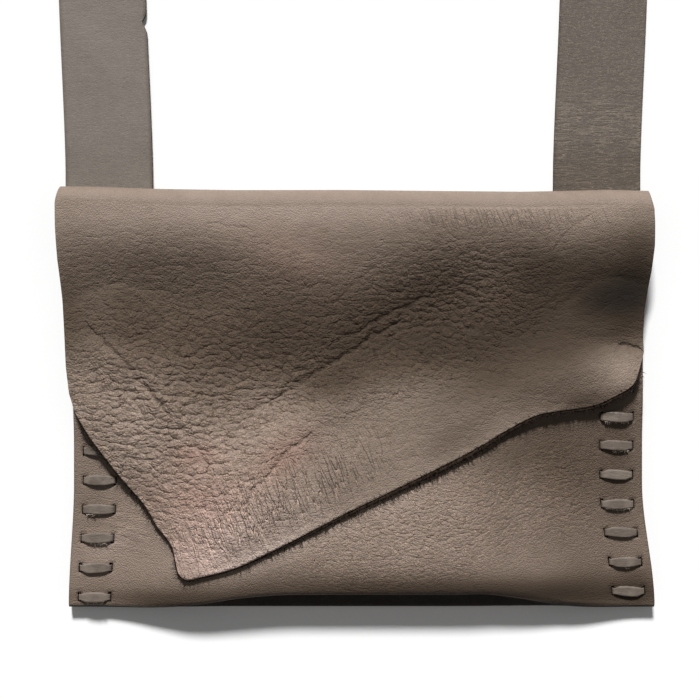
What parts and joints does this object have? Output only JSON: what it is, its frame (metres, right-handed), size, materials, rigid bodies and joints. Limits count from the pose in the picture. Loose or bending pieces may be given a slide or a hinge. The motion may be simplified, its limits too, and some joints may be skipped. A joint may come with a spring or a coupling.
{
  "type": "leather crossbody bag",
  "caption": "Flat leather bag with laced sides, a tucked bottom fold, a wide strap and an over-folded flap with a raw slanted edge, lying on its back.",
  "frame": {"origin": "middle of the back panel's outer face, on the surface that the bag lies on", "axes": "+X to the right across the front, +Y from the bottom fold to the top fold and on along the strap, +Z out of the front, up from the surface"},
  "size_m": [0.2845, 0.6674, 0.0416],
  "materials": {
    "hide": "pebbled, matt",
    "flap_hide": "pebbled, matt",
    "strap_hide": "fine grain, matt",
    "thong": "matt"
  },
  "bodies": {
    "bag": {"bag_body": "hide", "lace_left": "thong", "lace_right": "thong", "strap": "strap_hide"},
    "flap": {"flap": "flap_hide"}
  },
  "joints": [
    {"name": "flap_hinge", "type": "hinge", "parent": "bag", "child": "flap", "pos_m": [0, 0.091, 0.0123], "axis": [-1, 0, 0], "range_deg": [0, 160]}
  ]
}
